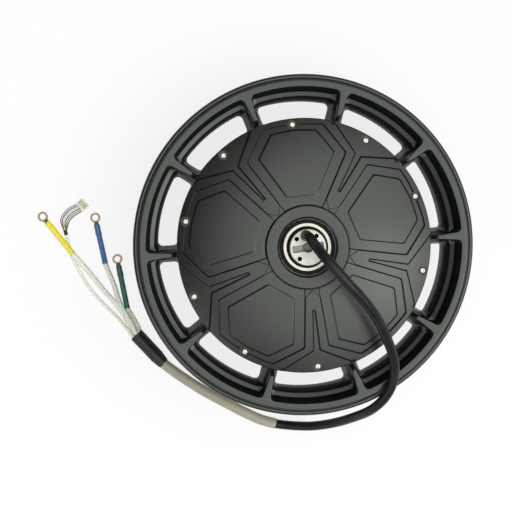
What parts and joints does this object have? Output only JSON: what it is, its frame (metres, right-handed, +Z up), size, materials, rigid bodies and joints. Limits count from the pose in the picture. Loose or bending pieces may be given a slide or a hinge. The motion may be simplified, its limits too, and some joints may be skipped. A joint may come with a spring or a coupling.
{
  "type": "electric unicycle hub motor",
  "caption": "Spoked cast rim with a motor drum and patterned lids that turns on a fixed hollow axle, with its cable and leads.",
  "frame": {"origin": "on the axle's line at its lower end face, which the part rests on", "axes": "+Z up along the axle, +X along the key slot in the axle's ends"},
  "size_m": [0.4903, 0.417, 0.1954],
  "materials": {
    "axle_steel": "turned steel",
    "key_steel": "drawn steel",
    "bearing_steel": "ground steel",
    "ball_steel": "polished steel",
    "shield_black": "moulded rubber",
    "carrier_aluminium": "cast",
    "stack_steel": "varnished sheet stack",
    "copper": "enamelled wire",
    "board_green": "solder mask",
    "sensor_black": "moulded",
    "ring_iron": "turned steel",
    "magnet_nickel": "nickel plated",
    "rim_black": "satin black paint on cast aluminium",
    "lid_black": "satin black paint on cast aluminium",
    "seal_black": "round seal",
    "screw_zinc": "zinc plated",
    "gland_black": "moulded",
    "jacket_black": "satin jacket",
    "sleeve_pale": "woven sleeve",
    "boot_black": "shrunk tube",
    "lead_pale": "silicone insulation",
    "marker_yellow": "shrunk tube",
    "marker_blue": "shrunk tube",
    "marker_green": "shrunk tube",
    "terminal_tin": "tinned",
    "wire_rose": "wire insulation",
    "wire_slate": "wire insulation",
    "wire_white": "wire insulation",
    "wire_green": "wire insulation",
    "wire_ochre": "wire insulation",
    "wire_brown": "wire insulation",
    "plug_ivory": "moulded",
    "pin_brass": "stamped"
  },
  "bodies": {
    "stator": {"axle": "axle_steel", "axle_key": "key_steel", "stator_carrier": "carrier_aluminium", "stator_core": "stack_steel", "winding_u": "copper", "winding_v": "copper", "winding_w": "copper", "hall_board": "board_green", "hall_sensors": "sensor_black", "phase_tails": "lead_pale", "hall_tail": "lead_pale", "cable_inner": "jacket_black", "cable_gland": "gland_black", "bearing_top_inner_ring": "bearing_steel", "bearing_bottom_inner_ring": "bearing_steel", "cable_jacket": "jacket_black", "cable_sleeve": "sleeve_pale", "cable_boot": "boot_black", "lead_yellow": "lead_pale", "lead_blue": "lead_pale", "lead_green": "lead_pale", "marker_yellow": "marker_yellow", "marker_blue": "marker_blue", "marker_green": "marker_green", "terminal_yellow": "terminal_tin", "terminal_blue": "terminal_tin", "terminal_green": "terminal_tin", "hall_lead": "lead_pale", "hall_end_tube": "boot_black", "hall_wire_1": "wire_rose", "hall_wire_2": "wire_slate", "hall_wire_3": "wire_white", "hall_wire_4": "wire_green", "hall_wire_5": "wire_ochre", "hall_wire_6": "wire_brown", "hall_plug": "plug_ivory", "hall_plug_pins": "pin_brass"},
    "wheel": {"wheel_rim": "rim_black", "magnet_ring": "ring_iron", "magnets": "magnet_nickel", "lid_top": "lid_black", "lid_bottom": "lid_black", "seal_top": "seal_black", "seal_bottom": "seal_black", "lid_screws_top": "screw_zinc", "lid_screws_bottom": "screw_zinc", "bearing_top_outer_ring": "bearing_steel", "bearing_bottom_outer_ring": "bearing_steel", "bearing_top_shields": "shield_black", "bearing_bottom_shields": "shield_black"},
    "top_ball_set": {"bearing_top_balls": "ball_steel"},
    "bottom_ball_set": {"bearing_bottom_balls": "ball_steel"}
  },
  "joints": [
    {"name": "wheel_spin", "type": "hinge", "parent": "stator", "child": "wheel", "pos_m": [0, 0, 0.068], "axis": [0, 0, 1], "continuous": true},
    {"name": "top_balls_roll", "type": "hinge", "parent": "stator", "child": "top_ball_set", "pos_m": [0, 0, 0.1224], "axis": [0, 0, 1], "continuous": true},
    {"name": "bottom_balls_roll", "type": "hinge", "parent": "stator", "child": "bottom_ball_set", "pos_m": [0, 0, 0.0136], "axis": [0, 0, 1], "continuous": true}
  ],
  "couplings": [
    {"joint": "top_balls_roll", "follows": "wheel_spin", "ratio": 0.5524},
    {"joint": "bottom_balls_roll", "follows": "wheel_spin", "ratio": 0.5524}
  ]
}
